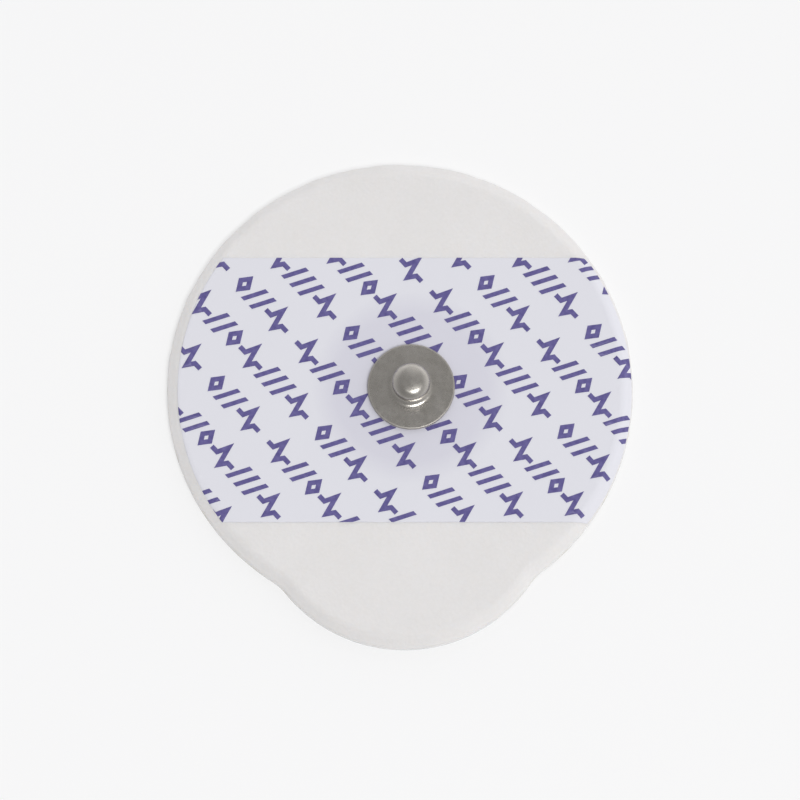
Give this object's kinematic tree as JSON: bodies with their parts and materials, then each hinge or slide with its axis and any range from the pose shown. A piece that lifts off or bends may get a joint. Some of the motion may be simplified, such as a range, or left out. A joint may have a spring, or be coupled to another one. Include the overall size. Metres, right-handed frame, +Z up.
{
  "type": "ecg electrode",
  "caption": "Disposable foam ECG electrode with a lift tab, a printed film label, a steel snap stud over a gel sponge and sensor, and a clear release liner.",
  "frame": {"origin": "on the snap stud's axis, at the underside of the release liner that the electrode rests on", "axes": "+Z runs up along the stud's axis, away from the skin side; -Y points to the lift tab"},
  "size_m": [0.0479, 0.0512, 0.0054],
  "materials": {
    "liner_film": "clear release film",
    "skin_adhesive": "clear tacky coat",
    "gel_sponge": "wet open-cell sponge",
    "foam": "matt closed-cell foam",
    "sensor_coating": "silver chloride coating",
    "label_film": "satin film",
    "label_ink": "printed ink",
    "stud_steel": "stamped, satin"
  },
  "bodies": {
    "root": {"release_liner": "liner_film", "adhesive_coat": "skin_adhesive", "gel_sponge": "gel_sponge", "foam_pad": "foam", "sensor_eyelet": "sensor_coating", "printed_label": "label_film", "label_print": "label_ink", "snap_stud": "stud_steel"}
  },
  "joints": []
}
